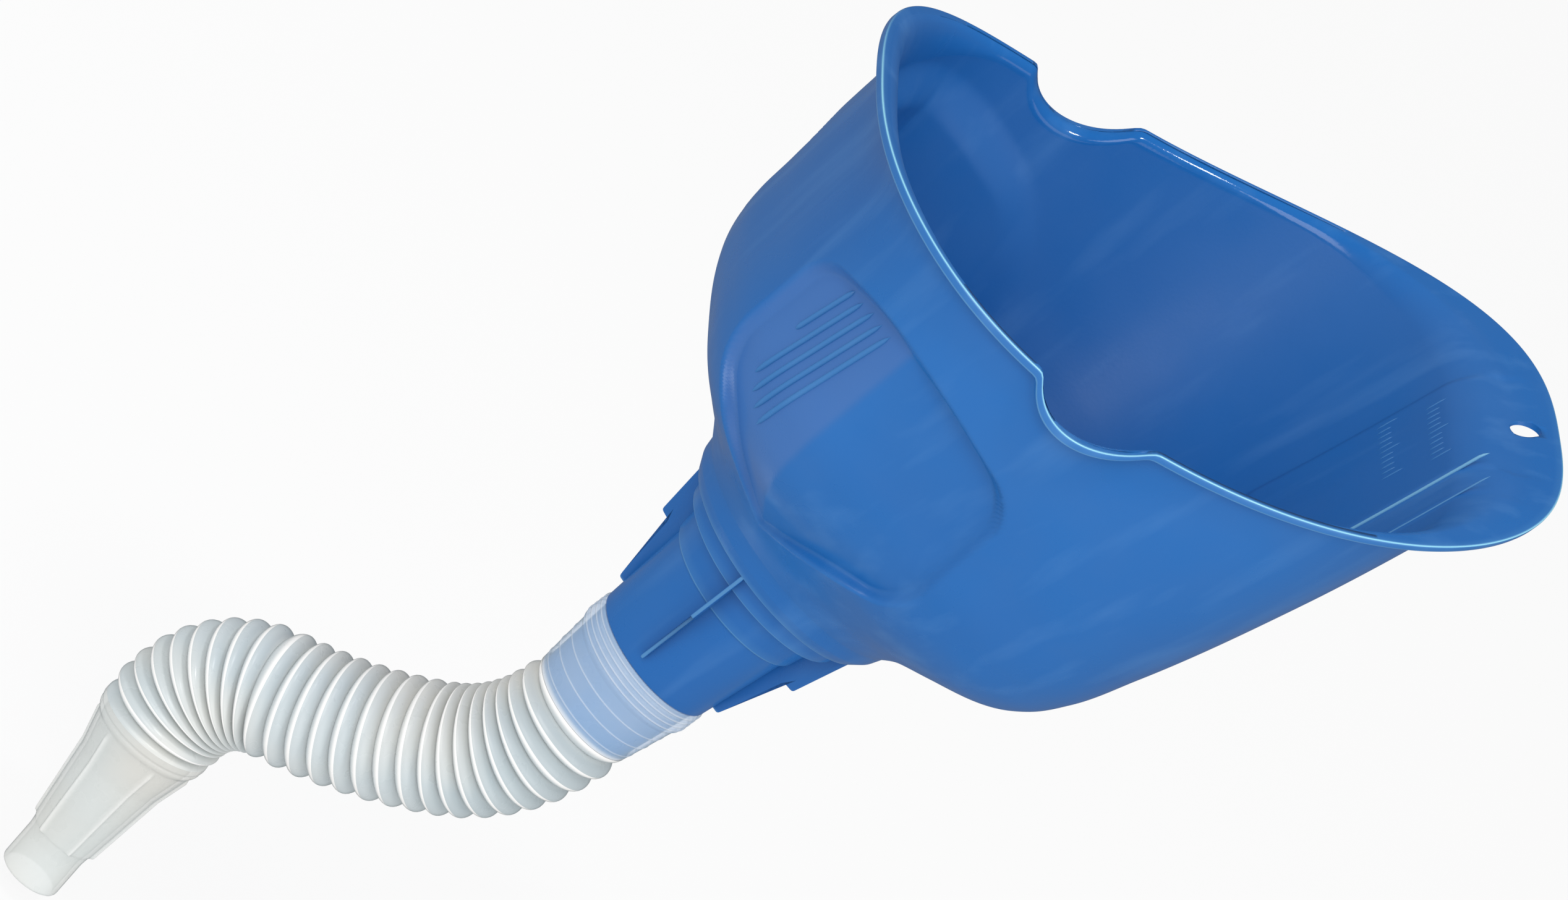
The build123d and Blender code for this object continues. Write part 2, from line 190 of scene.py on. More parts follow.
def rounded(points, radius, steps=4):
    """Polyline with every inner corner replaced by a small arc."""
    points = [np.array(p, float) for p in points]
    out = [points[0]]
    for before, corner, after in zip(points, points[1:], points[2:]):
        back, ahead = before - corner, after - corner
        reach_back = min(radius, 0.45 * np.linalg.norm(back))
        reach_ahead = min(radius, 0.45 * np.linalg.norm(ahead))
        a = corner + back / np.linalg.norm(back) * reach_back
        b = corner + ahead / np.linalg.norm(ahead) * reach_ahead
        for t in np.linspace(0, 1, steps):
            out.append((1 - t) ** 2 * a + 2 * t * (1 - t) * corner + t ** 2 * b)
    out.append(points[-1])
    return np.array(out)


def divided(points, longest):
    """Polyline with extra points so that no step is longer than the given length."""
    out = [points[0]]
    for a, b in zip(points, points[1:]):
        steps = max(1, int(np.ceil(np.linalg.norm(b - a) / longest)))
        out += [a + (b - a) * (i + 1) / steps for i in range(steps)]
    return np.array(out)


def turned(profile, origin, down, side, segments=SPOUT_SEGMENTS):
    """Rows of points of a profile (radius, distance along down) turned about an axis."""
    origin, down, side = (np.array(v, float) for v in (origin, down, side))
    other = np.cross(down, side)
    angle = np.linspace(0, 2 * pi, segments, endpoint=False)
    ring = np.cos(angle)[:, None] * side + np.sin(angle)[:, None] * other
    profile = np.array(profile, float)
    return origin + profile[:, 0, None, None] * ring + profile[:, 1, None, None] * down


def smoothstep(low, high, x):
    t = np.clip((x - low) / (high - low), 0, 1)
    return t * t * (3 - 2 * t)


def hermite(x, xs, ys):
    """Smooth curve through the given points."""
    slopes = np.gradient(ys, xs)
    i = np.clip(np.searchsorted(xs, x) - 1, 0, len(xs) - 2)
    step = xs[i + 1] - xs[i]
    t = (x - xs[i]) / step
    return ((2 * t ** 3 - 3 * t ** 2 + 1) * ys[i] + (t ** 3 - 2 * t ** 2 + t) * step * slopes[i]
            + (3 * t ** 2 - 2 * t ** 3) * ys[i + 1] + (t ** 3 - t ** 2) * step * slopes[i + 1])


# ---- Bowl surfaces ------------------------------------------------------------------------------
phi = np.linspace(0, 2 * pi, SEGMENTS, endpoint=False)
heights, half_xs, half_ys, centres = PROFILE.T


def grip_shape(x, y, z, run_out):
    """Depth of the grip recesses below the bowl's wall, and which part is their ribbed facet, that gets a
    painted sheen.
    """
    depth = np.zeros(np.broadcast(x, y, z).shape)
    worn = np.zeros(depth.shape)
    angle = radians(GRIP_AZIMUTH)
    for side in (-1, 1):
        across = -x * cos(angle) - side * y * sin(angle)
        facing = -x * sin(angle) + side * y * cos(angle)
        half, c, fall, foot = (np.where(across > 0, *pair)
                               for pair in (GRIP_HALVES, GRIP_CORNERS, GRIP_FALLS, GRIP_FEET))
        # distance to the rounded outline: half planes of the outline shrunk by its corner radius
        top = GRIP_TOP - fall * (across / half) ** 2
        rise = foot - GRIP_POINT
        low = (GRIP_POINT - z + rise * np.abs(across) / half) * half / np.hypot(half, rise)
        planes = [np.abs(across) - half + c, z - top + c, low + c]
        outside = np.sqrt(sum(np.maximum(p, 0) ** 2 for p in planes))
        distance = np.where(outside > 0, outside, np.maximum.reduce(planes)) - c
        here = smoothstep(run_out, GRIP_EDGE_IN, distance) * (facing > 0)
        facet = np.abs(np.sin(pi * np.clip(across / half, -1, 1)))
        depth += here * (GRIP_DEPTH + GRIP_FACET * facet)
        worn += here * smoothstep(-0.5, 2.5, across)
    return depth, worn


def panel_rise(x, y, z):
    """How far the panel stands in from the inner wall of the tall end."""
    narrow, wide = (height * smoothstep(half + PANEL_BEVEL, half - PANEL_BEVEL, np.abs(y))
                    for half, height in PANEL_STEPS)
    rise = narrow + wide * smoothstep(*PANEL_FADE, y)
    rise = rise * smoothstep(PANEL_TOP + 1, PANEL_TOP - 5, z)
    return rise * smoothstep(PANEL_FOOT, PANEL_FOOT + 6, z) * (x > 0)


def wall(z, inset):
    """Points of the bowl's wall at heights z (rows, segments), at an inset from the outside."""
    flare = (hermite(z + 0.5, heights, half_xs) - hermite(z - 0.5, heights, half_xs))
    step_in = inset * np.hypot(1.0, flare)
    half_x = hermite(z, heights, half_xs) - step_in
    half_y = hermite(z, heights, half_ys) - step_in
    power = 2 + (SQUARENESS - 2) * smoothstep(FOOT, 82.0, z)
    centre = hermite(z, heights, centres)
    c, s = np.abs(np.cos(phi)), np.abs(np.sin(phi))
    reach = ((c / half_x) ** power + (s / half_y) ** power) ** (-1 / power)
    x, y = reach * np.cos(phi), reach * np.sin(phi)
    nx = np.sign(x) * (np.abs(x) / half_x) ** (power - 1) / half_x
    ny = np.sign(y) * (np.abs(y) / half_y) ** (power - 1) / half_y
    size = np.hypot(nx, ny)
    sunk = grip_shape(x + centre, y, z, GRIP_BULGE_OUT if inset else GRIP_EDGE_OUT)[0]
    if inset:
        sunk = sunk + panel_rise(x, y, z)
    return np.stack([x + centre - nx / size * sunk, y - ny / size * sunk, z + 0 * x], axis=-1)


def rim_height(x):
    """Height of the rim's top at x, with the pour notch cut into it."""
    across = x - RIM_CENTRE
    reach = np.minimum(np.abs(across) / RIM_HALF_X, 1.0)
    crown = RIM_CROWN * (1 - reach ** RIM_POWER) ** (2 / RIM_POWER)
    plain = RIM_HEIGHT + RIM_SLOPE * across + RIM_CURVE * across ** 2 + crown
    radius = (NOTCH_HALF ** 2 + NOTCH_DEPTH ** 2) / (2 * NOTCH_DEPTH)
    off = np.minimum(np.abs(x - NOTCH_X), radius)
    dip = NOTCH_DEPTH - radius + np.sqrt(radius ** 2 - off ** 2)
    cut = NOTCH_SOFTNESS * np.log1p(np.exp(dip / NOTCH_SOFTNESS))
    return plain - cut * (np.abs(x - NOTCH_X) < radius + 6)


def wall_at_rim(inset):
    """Row of wall points at the height of the rim."""
    z = np.full((1, SEGMENTS), RIM_HEIGHT)
    for _ in range(12):
        z = 0.5 * z + 0.5 * rim_height(wall(z, inset)[..., 0])
    return wall(z, inset)[0]


def rim_edge(shrink):
    """Row of points on the rim's outline, moved in by shrink."""
    c, s = np.abs(np.cos(phi)), np.abs(np.sin(phi))
    half_x, half_y = RIM_HALF_X - shrink, RIM_HALF_Y - shrink
    reach = ((c / half_x) ** RIM_POWER + (s / half_y) ** RIM_POWER) ** (-1 / RIM_POWER)
    return np.stack([RIM_CENTRE + reach * np.cos(phi), reach * np.sin(phi)], axis=-1)


def level(points, drop):
    """Row of points at the rim's surface above or below their place."""
    return np.column_stack([points[:, 0], points[:, 1], rim_height(points[:, 0]) - drop])


rows, edge, polish = [], [], []
SHINE_FADE = (70.0, -20.0)      # painted highlights on the edges fade away towards the +Y side, away from the lights, between these


def put(row, shine=0.0, smooth=0.0):
    """Add a row of points; shine is the painted highlight on its edge, smooth runs from -1, dull, to 1,
    glossy.
    """
    rows.append(row)
    edge.append(shine * smoothstep(*SHINE_FADE, row[:, 1]))
    polish.append(smooth * np.ones(SEGMENTS))


outer_top, inner_top = wall_at_rim(0.0), wall_at_rim(WALL)
for row in turned(divided(rounded(NECK_OUTSIDE, 0.4), 3.0), (0, 0, 0), (0, 0, 1), (1, 0, 0), SEGMENTS):
    put(row, RING_SHINE * sum(np.exp(-((row[0, 2] - z) / RING_SPREAD) ** 2) for z in NECK_RINGS))
radial = np.stack([np.cos(phi), np.sin(phi)], axis=-1)
flange_in = rim_edge(FLANGE_INSIDE)
reach = np.linalg.norm(flange_in - inner_top[:, :2], axis=1)
at_end = smoothstep(SWEEP_FROM, SWEEP_FULL, np.abs(radial[:, 0]))


def turn_rows(top, inset, drop_from, round_out, round_down, turns):
    """Rows that turn from the flange, drop_from under the rim, into the bowl's wall."""
    for turn in turns:
        out = radial * (round_out * (1 - sin(radians(turn))))[:, None]
        z = rim_height(top[:, 0] + out[:, 0]) - drop_from - round_down * (1 - cos(radians(turn)))
        base = wall(z[None, :], inset)[0]
        yield np.column_stack([base[:, :2] + out, z])


sweeps = np.array([LOW_SWEEP, TALL_SWEEP])[:, :, None]
sweep_share, sweep_drop = np.where(radial[:, 0] < 0, *sweeps)
soft = SIDE_ROUND + (sweep_share * reach - SIDE_ROUND) * at_end
drop = SIDE_ROUND + (sweep_drop - SIDE_ROUND) * at_end
inner_turn = list(turn_rows(inner_top, WALL, 0.1, soft, drop, np.linspace(0, 90, 16)))
outer_soft = np.maximum(soft - WALL, OUTER_ROUND)
outer_drop = OUTER_ROUND + (sweep_drop - OUTER_ROUND) * at_end
outer_turn = list(turn_rows(outer_top, 0.0, FLANGE, outer_soft, outer_drop, np.linspace(90, 0, 10)))
z_top = outer_turn[0][:, 2]
for share in np.linspace(0, 1, 165)[1:-1]:
    put(wall((FOOT + (z_top - FOOT) * share)[None, :], 0.0)[0])
for row in outer_turn:
    put(row)
lip_in = rim_edge(LIP_FOOT)
start = outer_turn[-1][:, :2]
for share in (0.35, 0.7, 1.0):
    put(level(start + (lip_in - start) * share, FLANGE))
outer_rows = len(rows)
lip_centre = rim_edge(LIP_ROUND)
lower_lip = [(-90, 0.0), (-60, 0.12), (-30, 0.25), (0, 0.04)]           # turn and painted highlight
upper_lip = [(0, 0.04), (22, 0.15), (45, 1.0), (68, 0.4), (90, 0.05)]
for depth, turns in ((LIP - LIP_ROUND, lower_lip), (LIP_ROUND, upper_lip)):
    for turn, shine in turns:
        out = LIP_ROUND * cos(radians(turn))
        put(level(lip_centre + radial * out, depth - LIP_ROUND * sin(radians(turn))), shine)
top_in = inner_turn[0][:, :2]
for share in (0.0, 0.1, 0.5):
    put(level(flange_in + (top_in - flange_in) * share, 0.1))
for row in inner_turn:
    put(row, smooth=1 - 2 * at_end)
z_start = inner_turn[-1][:, 2]
for share in np.linspace(0, 1, 110)[1:-1]:
    put(wall((z_start + (FOOT - z_start) * share)[None, :], WALL)[0], smooth=-1.0)
bore = rounded(NECK_INSIDE + [(STUB_TIP_RADIUS, -STUB_LENGTH), (19.3, 0)], 0.6)
for row in turned(divided(bore, 4.0), (0, 0, 0), (0, 0, 1), (1, 0, 0), SEGMENTS)[:-1]:
    put(row)
rows = np.array(rows)
# the painted sheen on the ribbed facets, on the outside wall only
worn = grip_shape(*np.moveaxis(rows, -1, 0), GRIP_EDGE_OUT)[1]
worn[outer_rows:] = 0.0
funnel_shell = grid_piece("funnel_shell", rows, close_rows=True, edge=np.array(edge), worn=worn,
                          polish=np.array(polish))

# the hang hole, cut square to the rim's slope
slope = atan2(rim_height(HANG_HOLE_X + 0.5) - rim_height(HANG_HOLE_X - 0.5), 1.0)
bpy.ops.mesh.primitive_cylinder_add(
    vertices=96, radius=HANG_HOLE_RADIUS * MM, depth=16 * MM,
    location=(HANG_HOLE_X * MM, 0, rim_height(HANG_HOLE_X) * MM), rotation=(0, -slope, 0))
cutter = bpy.context.object
hole = funnel_shell.modifiers.new("hang_hole", "BOOLEAN")
hole.operation, hole.object, hole.solver = "DIFFERENCE", cutter, "EXACT"
bpy.context.view_layer.objects.active = funnel_shell
bpy.ops.object.modifier_apply(modifier=hole.name)
bpy.data.objects.remove(cutter)
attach(funnel_shell, "funnel")
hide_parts("funnel_body")


# ---- Small parts of the bowl --------------------------------------------------------------------
ROD_END_POINTS = 3


def tube(name, points, radius, shine):
    """Rod along points in mm, rounded over its last few points, with a painted highlight of the given shine.
    """
    points = np.array(points, float)
    along = np.gradient(points, axis=0)
    along /= np.linalg.norm(along, axis=1)[:, None]
    sides = np.cross(along, (1.0, 0.3, 0.2))
    sides /= np.linalg.norm(sides, axis=1)[:, None]
    angle = np.linspace(0, 2 * pi, 16, endpoint=False)
    out = []
    for i, (p, a, s) in enumerate(zip(points, along, sides)):
        t = np.cross(a, s)
        near_end = min(i, len(points) - 1 - i) / ROD_END_POINTS
        size = radius * (1.0 if near_end >= 1 else max(0.02, (1 - (1 - near_end) ** 2) ** 0.5))
        out.append(p + size * (np.cos(angle)[:, None] * s + np.sin(angle)[:, None] * t))
    return grid_piece(name, np.array(out), edge=shine)


def outside_at(across, z, side):
    """Point of the recessed outer wall in front of a grip, at a sideways place and height."""
    row = wall(np.full((1, SEGMENTS), z), 0.0)[0]
    angle = radians(GRIP_AZIMUTH)
    place = -row[:, 0] * cos(angle) - side * row[:, 1] * sin(angle)
    facing = -row[:, 0] * sin(angle) + side * row[:, 1] * cos(angle)
    place = np.where(facing > 0, place, 1e9)
    i = int(np.argmin(np.abs(place - across)))
    j = i + 1 if (place[i] - across) * (place[(i + 1) % SEGMENTS] - across) < 0 else i - 1
    share = (across - place[i]) / (place[j % SEGMENTS] - place[i])
    return row[i] + (row[j % SEGMENTS] - row[i]) * share


for side, label in ((-1, "front"), (1, "back")):
    for i, (low, high) in enumerate(zip(RIB_FEET, RIB_TOPS)):
        across = RIB_FIRST + RIB_SPACING * i
        line = [outside_at(across + RIB_LEAN * (high - z), z, side) for z in np.linspace(low, high, 24)]
        rib = tube(f"grip_rib_{label}_{i + 1}", line, RIB_RADIUS, RIB_SHINE)
        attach(rib, "funnel")


def inside_at(y, z):
    """Point of the tall end's inner wall at a width and height."""
    row = wall(np.full((1, SEGMENTS), z), WALL)[0]
    quarter = SEGMENTS // 8
    part = np.concatenate([row[-quarter:], row[:quarter]])
    return np.array([np.interp(y, part[:, 1], part[:, 0]), y, z])


for row, (z, start) in enumerate(SCALE_ROWS):
    for i in range(TICKS):
        y = start + TICK_PITCH * i
        length = TICK_LENGTH * (1.5 if i % 5 == 0 else 1.0)
        line = [inside_at(y, z + step) for step in np.linspace(0, length, 8)]
        mark = tube(f"scale_tick_{row + 1}_{i + 1:02d}", line, TICK_RADIUS, TICK_SHINE)
        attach(mark, "funnel")
for i, ((half, _), (radius, shine)) in enumerate(zip(PANEL_STEPS, EDGE_LINES)):
    line = [inside_at(-half, z) for z in np.linspace(PANEL_EDGE_FOOT, PANEL_EDGE_TOP, 40)]
    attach(tube(f"scale_edge_{i + 1}", line, radius, shine), "funnel")

for i in range(FIN_COUNT):
    angle = radians(FIN_AZIMUTH + 360 / FIN_COUNT * i)
    outline = rounded(FIN_OUTLINE, 0.8)
    half = FIN_THICKNESS / 2
    across = np.array([-sin(angle), cos(angle), 0.0])
    flat = np.array([[r * cos(angle), r * sin(angle), z] for r, z in outline])
    middle = flat.mean(axis=0)
    # its two faces shrink to a point in the middle, and its edge is bevelled
    stack = [middle + (flat - middle) * size + across * offset * half
             for size, offset in ((0.001, -1), (0.97, -1), (1, -0.6), (1, 0.6), (0.97, 1), (0.001, 1))]
    # painted highlight along the fin's bevelled edge
    shine = FIN_SHINE * np.array([0, 0, 1, 1, 0, 0])[:, None]
    fin = grid_piece(f"neck_fin_{i + 1}", np.array(stack), edge=shine)
    fin.data.set_sharp_from_angle(angle=radians(50))
    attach(fin, "funnel")

# ---- Spout: the place of every fold and convolution comes from the frame's joints ------------------
joints = {j["name"]: j for j in frame["joints"]}
bends = [j for j in frame["joints"] if j["child"].startswith("fold_")]
sways = {j["parent"]: j for j in frame["joints"] if j["parent"].startswith("fold_")}
turn_axis = np.array(bends[0]["axis"])
fold_at = [np.array(j["pos_m"]) / MM for j in bends]
fold_down = [np.cross(turn_axis, sways[j["child"]]["axis"]) for j in bends]
ring_down = [np.array((0, 0, -1.0))]
ring_at = [np.array((0, 0, -CUFF_END))]
for a, b in zip(fold_at, fold_at[1:]):
    ring_down.append((b - a) / np.linalg.norm(b - a))
    ring_at.append((a + b) / 2)
nozzle_down = fold_down[-1] * 2 * np.dot(fold_down[-1], ring_down[-1]) - ring_down[-1]
ring_down.append(nozzle_down / np.linalg.norm(nozzle_down))
ring_at.append(fold_at[-1] + ring_down[-1] * COLLAR_AT)


def half_fold(name, wide_at, wide_down, wide_radius, fold_point, fold_dir, fold_first):
    """Skin between the widest ring of a convolution and the bottom of the fold next to it."""
    shares = np.linspace(0, 1, HALF_ROWS)
    if not fold_first:
        shares = shares[::-1]
    out, near_fold = [], []
    angle = np.linspace(0, 2 * pi, SPOUT_SEGMENTS, endpoint=False)
    for t in shares:
        down = fold_dir + (wide_down - fold_dir) * t
        down /= np.linalg.norm(down)
        other = np.cross(down, turn_axis)
        radius = VALLEY_RADIUS + (wide_radius - VALLEY_RADIUS) * sin(pi / 2 * t) ** 0.9
        centre = fold_point + (wide_at - fold_point) * (t * 0.82 + 0.18 * t * t)
        ring = np.cos(angle)[:, None] * turn_axis + np.sin(angle)[:, None] * other
        out.append(centre + radius * ring)
        pale = 0.35 * np.exp(-(t / 0.15) ** 2) if fold_first else 0.25 + 0.75 * smoothstep(0.5, 0.9, t)
        near_fold.append(np.full(SPOUT_SEGMENTS, pale))
    return grid_piece(name, np.array(out), fold=np.array(near_fold))


def safe_reach(wide_at, fold_point, wide_down, fold_dir):
    """End of the blend: short of the fold."""
    length = np.linalg.norm(fold_point - wide_at)
    tilt = VALLEY_RADIUS * np.linalg.norm(np.cross(wide_down, fold_dir))
    return max(0.3, 1 - (tilt + 0.05) / length)


skins = []
for k, (point, down) in enumerate(zip(fold_at, fold_down)):
    fold = f"fold_{k:02d}"
    below = "nozzle" if k == len(fold_at) - 1 else f"convolution_{k + 1:02d}"
    radius_above = CUFF_FOOT_RADIUS if k == 0 else CREST_RADIUS
    radius_below = NOZZLE_COLLAR if below == "nozzle" else CREST_RADIUS
    upper = half_fold(f"fold_{k:02d}_upper", ring_at[k], ring_down[k], radius_above, point, down, False)
    share = safe_reach(ring_at[k], point, ring_down[k], down)
    Vector(ring_at[k]) * MM
    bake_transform(upper)
    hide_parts(fold)
    lower = half_fold(f"fold_{k:02d}_lower", ring_at[k + 1], ring_down[k + 1], radius_below,
                      point, down, True)
    share = safe_reach(ring_at[k + 1], point, ring_down[k + 1], down)
    start = ring_at[k + 1] + (point - ring_at[k + 1]) * share
    Vector(start) * MM
    Vector(ring_at[k + 1]) * MM
    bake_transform(lower)
    if below != "nozzle":
        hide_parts(below)
    skins += [upper, lower]

# cuff: outside from its mouth down, then back up the inside
outside = [(19.5, 0.1), (CUFF_RADIUS, 0.1)]
ridges = [RIDGE_FIRST + RIDGE_PITCH * i for i in range(RIDGES)]
for at in ridges:
    outside += [(CUFF_RADIUS, at - 0.5), (CUFF_RADIUS + RIDGE_HEIGHT, at), (CUFF_RADIUS, at + 0.5)]
outside += [(CUFF_RADIUS, CUFF_BAND), (20.1, CUFF_BAND + 1.2), (19.6, 13.0), (19.75, 13.3), (19.5, 13.6),
            (19.0, 18.0), (19.15, 18.3), (18.9, 18.6), (18.3, 23.0), (18.45, 23.3), (18.2, 23.6),
            (CUFF_FOOT_RADIUS, CUFF_END), (17.0, CUFF_END), (19.4, 0.1)]
profile = divided(rounded(outside, 0.2), 1.0)
lines = ridges + CUFF_RINGS
pale = sum(0.45 * np.exp(-((profile[:, 1] - at) / 0.24) ** 2) for at in lines)
pale += 0.08 * smoothstep(CUFF_BAND + 1.0, CUFF_BAND - 1.0, profile[:, 1])
pale += 0.75 * smoothstep(STUB_LENGTH - 1.5, STUB_LENGTH + 0.3, profile[:, 1])
cuff_skin = grid_piece("cuff_skin", turned(profile, (0, 0, 0), (0, 0, -1), (1, 0, 0)),
                       fold=np.clip(pale, 0, 1)[:, None])
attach(cuff_skin, "cuff")
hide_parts("spout_cuff")

# nozzle: outside with ribs, rounded tip, and the inside
nozzle_outline = [(NOZZLE_COLLAR, COLLAR_AT), (NOZZLE_COLLAR + 0.1, 4.2), (NOZZLE_COLLAR - 0.5, 4.8),
                  (NOZZLE_COLLAR - 0.2, 5.6), (NOZZLE_COLLAR - 0.6, 6.6), NOZZLE_NECK, NOZZLE_WAIST,
                  NOZZLE_STEP, (NOZZLE_STEP[0] - 0.4, NOZZLE_STEP[1] + 0.7),
                  (NOZZLE_TIP_RADIUS, NOZZLE_TIP_AT), (NOZZLE_TIP_RADIUS, NOZZLE_LENGTH - 0.8),
                  (NOZZLE_TIP_RADIUS - NOZZLE_WALL, NOZZLE_LENGTH - 0.1),
                  (NOZZLE_TIP_RADIUS - NOZZLE_WALL, NOZZLE_TIP_AT),
                  *((radius - NOZZLE_WALL, at) for radius, at in (NOZZLE_STEP, NOZZLE_WAIST, NOZZLE_NECK)),
                  (VALLEY_RADIUS, COLLAR_AT + 0.4)]
profile = divided(rounded(nozzle_outline, 0.7), 2.0)
surface = turned(profile, fold_at[-1], ring_down[-1], turn_axis, NOZZLE_SEGMENTS)
axis_part = fold_at[-1] + profile[:, 1, None, None] * ring_down[-1]
angle = np.linspace(0, 2 * pi, NOZZLE_SEGMENTS, endpoint=False)
spread = ((angle - radians(NOZZLE_RIB_TURN)) * NOZZLE_RIBS / (2 * pi) + 0.5) % 1 - 0.5
outer_part = np.arange(len(profile)) < int(np.argmax(profile[:, 1]))
along_rib = smoothstep(7.5, 10.0, profile[:, 1]) * (profile[:, 1] < NOZZLE_STEP[1] + 0.4) * outer_part
arc = spread[None, :] * 2 * pi / NOZZLE_RIBS * profile[:, 0, None]
lift = NOZZLE_RIB_HEIGHT * along_rib[:, None] * np.exp(-(arc / NOZZLE_RIB_SPREAD) ** 2)
surface += (surface - axis_part) / profile[:, 0, None, None] * lift[..., None]
nozzle_skin = grid_piece("nozzle_skin", surface, fold=np.clip(lift, 0, 1) * 0.5)
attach(nozzle_skin, "nozzle")
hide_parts("nozzle")


# ---- Materials ----------------------------------------------------------------------------------
def new_material(name):
    material = bpy.data.materials.new(name)
    material.use_nodes = True
    return material, material.node_tree.nodes, material.node_tree.links


def noise(nodes, links, scale, detail=3.0, stretch=(1, 1, 1)):
    """Noise in the object's own coordinates."""
    place = nodes.new("ShaderNodeTexCoord")
    mapping = nodes.new("ShaderNodeMapping")
    mapping.inputs["Scale"].default_value = stretch
    texture = nodes.new("ShaderNodeTexNoise")
    texture.inputs["Scale"].default_value = scale
    texture.inputs["Detail"].default_value = detail
    links.new(place.outputs["Object"], mapping.inputs["Vector"])
    links.new(mapping.outputs["Vector"], texture.inputs["Vector"])
    return texture.outputs["Fac"]


def ranged(nodes, links, value, from_low, from_high, low, high):
    """Value mapped from one range to another, and clamped."""
    node = nodes.new("ShaderNodeMapRange")
    node.inputs["From Min"].default_value, node.inputs["From Max"].default_value = from_low, from_high
    node.inputs["To Min"].default_value, node.inputs["To Max"].default_value = low, high
    links.new(value, node.inputs["Value"])
    return node.outputs["Result"]


def mixed(nodes, links, factor, a, b):
    """Colour a to colour b by factor; each is a colour or a socket."""
    node = nodes.new("ShaderNodeMix")
    node.data_type = "RGBA"
    links.new(factor, node.inputs["Factor"])
    for key, value in (("A", a), ("B", b)):
        socket = [s for s in node.inputs if s.name == key and s.type == "RGBA"][0]
        if isinstance(value, tuple):
            socket.default_value = (*value, 1.0)
        else:
            links.new(value, socket)
    return [s for s in node.outputs if s.type == "RGBA"][0]


def attribute(nodes, name):
    node = nodes.new("ShaderNodeAttribute")
    node.attribute_name = name
    return node.outputs["Fac"]


def bump(nodes, links, height, strength, distance):
    node = nodes.new("ShaderNodeBump")
    node.inputs["Strength"].default_value = strength
    node.inputs["Distance"].default_value = distance
    links.new(height, node.inputs["Height"])
    return node.outputs["Normal"]


BLUE, BLUE_DEEP = (0.014, 0.134, 0.425), (0.010, 0.118, 0.395)
BLUE_PAINTED_HIGHLIGHT, BLUE_SCUFF = (0.300, 0.660, 0.800), (0.055, 0.200, 0.500)
BLUE_PAINTED_SHEEN = (0.042, 0.150, 0.430)
MILK, MILK_FOLD = (0.485, 0.560, 0.590), (0.940, 0.935, 0.920)
MILK_WARM, MILK_RIM = (0.800, 0.770, 0.710), (0.250, 0.310, 0.320)

blue, n, l = new_material("blue_polyethylene")
shader = n["Principled BSDF"]
cloud = ranged(n, l, noise(n, l, 9.0), 0.35, 0.65, 0.0, 1.0)
colour = mixed(n, l, cloud, BLUE, BLUE_DEEP)
scuffs = ranged(n, l, noise(n, l, 90.0, 4.0, (1, 1, 0.10)), 0.52, 0.80, 0.0, 0.5)
colour = mixed(n, l, scuffs, colour, BLUE_SCUFF)
# painted sheen: the ribbed grip facet is coloured lighter and more purple, as where it catches the light
colour = mixed(n, l, attribute(n, "worn"), colour, BLUE_PAINTED_SHEEN)
# painted highlight: bright cyan-white colour on lip rounds, step edges, ribs, fins and marks
colour = mixed(n, l, attribute(n, "edge"), colour, BLUE_PAINTED_HIGHLIGHT)
l.new(colour, shader.inputs["Base Color"])
rough = ranged(n, l, noise(n, l, 45.0, 5.0), 0.3, 0.7, 0.24, 0.36)
polished = n.new("ShaderNodeMath")
polished.operation = "MULTIPLY"
l.new(rough, polished.inputs[0])
l.new(ranged(n, l, attribute(n, "polish"), -1, 1, 1.65, 0.35), polished.inputs[1])
l.new(polished.outputs[0], shader.inputs["Roughness"])
l.new(bump(n, l, noise(n, l, 900.0, 2.0), 0.06, 0.0004), shader.inputs["Normal"])
shader.inputs["Specular IOR Level"].default_value = 0.5


def facing(nodes, from_low, from_high, low, high, links):
    """Value that grows where the surface is seen at a glancing angle."""
    node = nodes.new("ShaderNodeLayerWeight")
    node.inputs["Blend"].default_value = 0.5
    return ranged(nodes, links, node.outputs["Facing"], from_low, from_high, low, high)


def milky(name, alpha_low, alpha_high, tint, warmth=0.6):
    """Translucent polyethylene: paler and denser in thick places, denser still at its outline."""
    material, n, l = new_material(name)
    shader = n["Principled BSDF"]
    cloud = ranged(n, l, noise(n, l, 18.0), 0.35, 0.65, 0.0, 0.22)
    colour = mixed(n, l, cloud, tint, MILK_FOLD)
    warm = ranged(n, l, noise(n, l, 26.0, 1.0), 0.50, 0.72, 0.0, warmth)
    colour = mixed(n, l, warm, colour, MILK_WARM)
    colour = mixed(n, l, attribute(n, "fold"), colour, MILK_FOLD)
    colour = mixed(n, l, facing(n, 0.72, 1.0, 0.0, 0.85, l), colour, MILK_RIM)
    l.new(colour, shader.inputs["Base Color"])
    dense = n.new("ShaderNodeMath")
    dense.operation = "MAXIMUM"
    l.new(ranged(n, l, attribute(n, "fold"), 0, 1, alpha_low, alpha_high), dense.inputs[0])
    l.new(facing(n, 0.55, 0.95, 0.0, 0.92, l), dense.inputs[1])
    l.new(dense.outputs[0], shader.inputs["Alpha"])
    l.new(ranged(n, l, noise(n, l, 120.0, 4.0), 0.3, 0.7, 0.22, 0.38), shader.inputs["Roughness"])
    l.new(bump(n, l, noise(n, l, 260.0, 2.0), 0.08, 0.0005), shader.inputs["Normal"])
    shader.inputs["Specular IOR Level"].default_value = 0.5
    return material


milk = milky("milky_polyethylene", 0.94, 1.0, MILK)
clear_milk = milky("milky_polyethylene_nozzle", 0.58, 0.9, (0.72, 0.76, 0.75))
cuff_milk = milky("milky_polyethylene_cuff", 0.42, 0.88, (0.36, 0.60, 0.90), 0.05)

